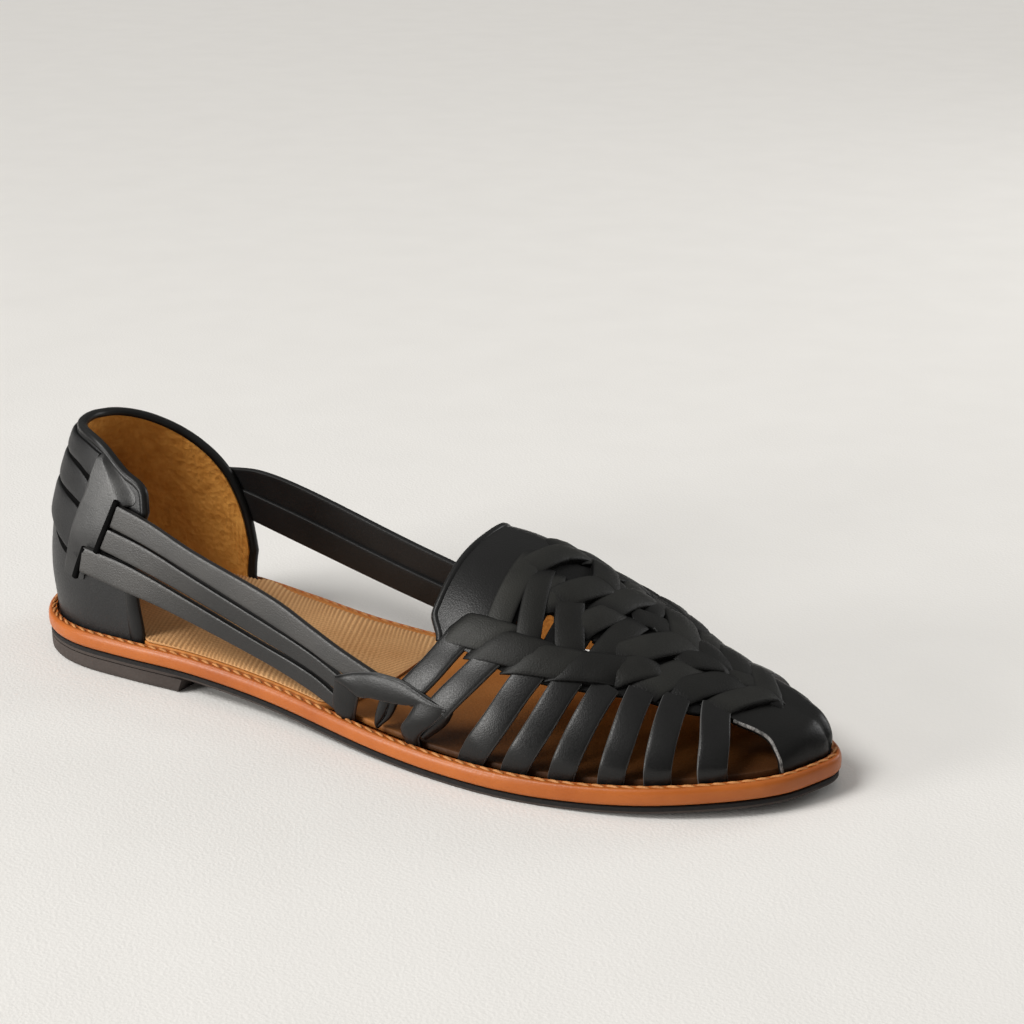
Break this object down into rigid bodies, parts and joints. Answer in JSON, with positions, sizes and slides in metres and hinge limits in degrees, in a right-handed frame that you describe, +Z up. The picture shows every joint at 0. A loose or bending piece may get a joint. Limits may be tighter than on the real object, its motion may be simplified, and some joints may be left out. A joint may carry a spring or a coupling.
{
  "type": "huarache sandal",
  "caption": "Flat slip-on huarache sandal with a woven leather vamp, side straps, heel counter and stitched leather sole.",
  "frame": {"origin": "on the floor under the middle of the shoe's bounding box", "axes": "+X towards the toe, +Y towards the inner side of the foot, +Z up"},
  "size_m": [0.2558, 0.0848, 0.0711],
  "materials": {
    "heel_rubber": "matt dark brown",
    "outsole_rubber": "matt near-black",
    "welt_leather": "satin orange tan",
    "insole_leather": "satin orange brown",
    "sock_leather": "matt ribbed tan",
    "upper_leather": "satin black"
  },
  "bodies": {
    "root": {"heel": "heel_rubber", "outsole": "outsole_rubber", "midsole": "welt_leather", "insole": "insole_leather", "sock": "sock_leather", "upper": "upper_leather"}
  },
  "joints": []
}
